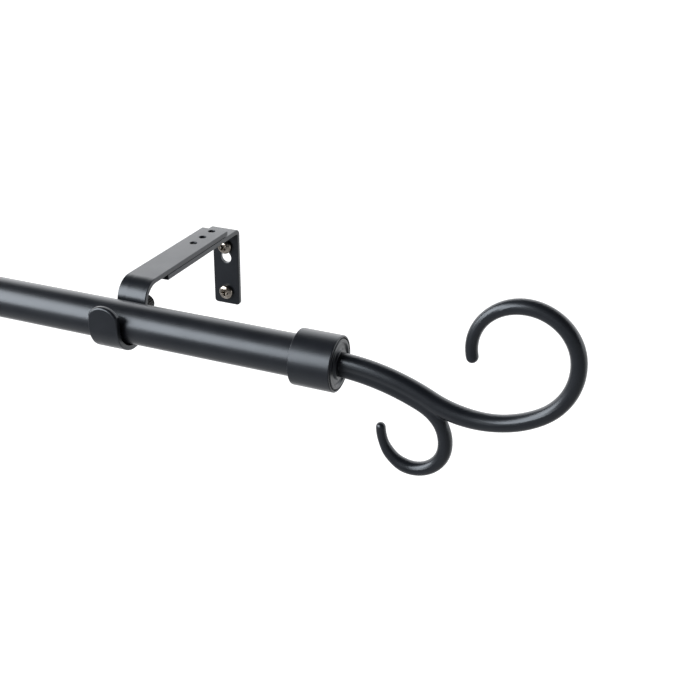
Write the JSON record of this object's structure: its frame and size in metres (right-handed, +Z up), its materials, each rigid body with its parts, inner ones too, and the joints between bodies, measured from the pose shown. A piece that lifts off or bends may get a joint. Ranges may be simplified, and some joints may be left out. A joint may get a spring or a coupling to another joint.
{
  "type": "curtain rod with brackets",
  "caption": "Black telescopic curtain rod on adjustable L-shaped wall brackets with open hooks, and a scroll finial on each end.",
  "frame": {"origin": "centre of the right wall plate's back face, on the wall", "axes": "+X along the rod towards the right finial, +Y into the wall, +Z up"},
  "size_m": [1.0758, 0.1755, 0.1188],
  "materials": {
    "black_coat": "satin",
    "nickel_screw": "polished",
    "zinc_screw": "satin",
    "black_screw": "satin",
    "guide_plastic": "matte"
  },
  "bodies": {
    "right_wall_mount": {"right_wall_plate": "black_coat", "right_upper_wall_screw": "nickel_screw", "right_lower_wall_screw": "nickel_screw"},
    "left_wall_mount": {"left_wall_plate": "black_coat", "left_upper_wall_screw": "nickel_screw", "left_lower_wall_screw": "nickel_screw"},
    "right_holder": {"right_rod_holder": "black_coat", "right_front_depth_screw": "zinc_screw", "right_rear_depth_screw": "zinc_screw"},
    "left_holder": {"left_rod_holder": "black_coat", "left_front_depth_screw": "zinc_screw", "left_rear_depth_screw": "zinc_screw"},
    "right_lock": {"right_lock_screw": "black_screw"},
    "left_lock": {"left_lock_screw": "black_screw"},
    "thick_rod": {"outer_tube": "black_coat", "mouth_ring": "guide_plastic"},
    "thin_rod": {"inner_tube": "black_coat", "slide_plug": "guide_plastic"},
    "right_liner": {"right_collar_liner": "guide_plastic"},
    "left_liner": {"left_collar_liner": "guide_plastic"},
    "right_finial": {"right_end_collar": "black_coat", "right_end_plate": "black_coat", "right_scroll": "black_coat", "right_scroll_screw": "zinc_screw"},
    "left_finial": {"left_end_collar": "black_coat", "left_end_plate": "black_coat", "left_scroll": "black_coat", "left_scroll_screw": "zinc_screw"}
  },
  "joints": [
    {"name": "right_depth", "type": "slide", "parent": "right_wall_mount", "child": "right_holder", "axis": [0, -1, 0], "range_m": [0, 0.04]},
    {"name": "left_spacing", "type": "slide", "parent": "right_wall_mount", "child": "left_wall_mount", "axis": [-1, 0, 0], "range_m": [0, 0.38]},
    {"name": "left_depth", "type": "slide", "parent": "left_wall_mount", "child": "left_holder", "axis": [0, -1, 0], "range_m": [0, 0.04]},
    {"name": "rod_lift", "type": "slide", "parent": "right_holder", "child": "thick_rod", "axis": [0, 0, 1], "range_m": [0, 0.045]},
    {"name": "rod_extend", "type": "slide", "parent": "thick_rod", "child": "thin_rod", "axis": [-1, 0, 0], "range_m": [0, 0.38]},
    {"name": "right_lock_turn_in", "type": "slide", "parent": "right_holder", "child": "right_lock", "axis": [0, 1, 0], "range_m": [0, 0.006]},
    {"name": "left_lock_turn_in", "type": "slide", "parent": "left_holder", "child": "left_lock", "axis": [0, 1, 0], "range_m": [0, 0.006]},
    {"name": "right_finial_pull", "type": "slide", "parent": "thick_rod", "child": "right_liner", "axis": [1, 0, 0], "range_m": [0, 0.025]},
    {"name": "left_finial_pull", "type": "slide", "parent": "thin_rod", "child": "left_liner", "axis": [-1, 0, 0], "range_m": [0, 0.025]},
    {"name": "right_finial_turn", "type": "hinge", "parent": "right_liner", "child": "right_finial", "pos_m": [0.13, -0.139, 0.0134], "axis": [1, 0, 0], "continuous": true},
    {"name": "left_finial_turn", "type": "hinge", "parent": "left_liner", "child": "left_finial", "pos_m": [-0.645, -0.139, 0.0134], "axis": [-1, 0, 0], "continuous": true}
  ],
  "couplings": [
    {"joint": "left_depth", "follows": "right_depth", "ratio": 1},
    {"joint": "left_spacing", "follows": "rod_extend", "ratio": 1}
  ]
}
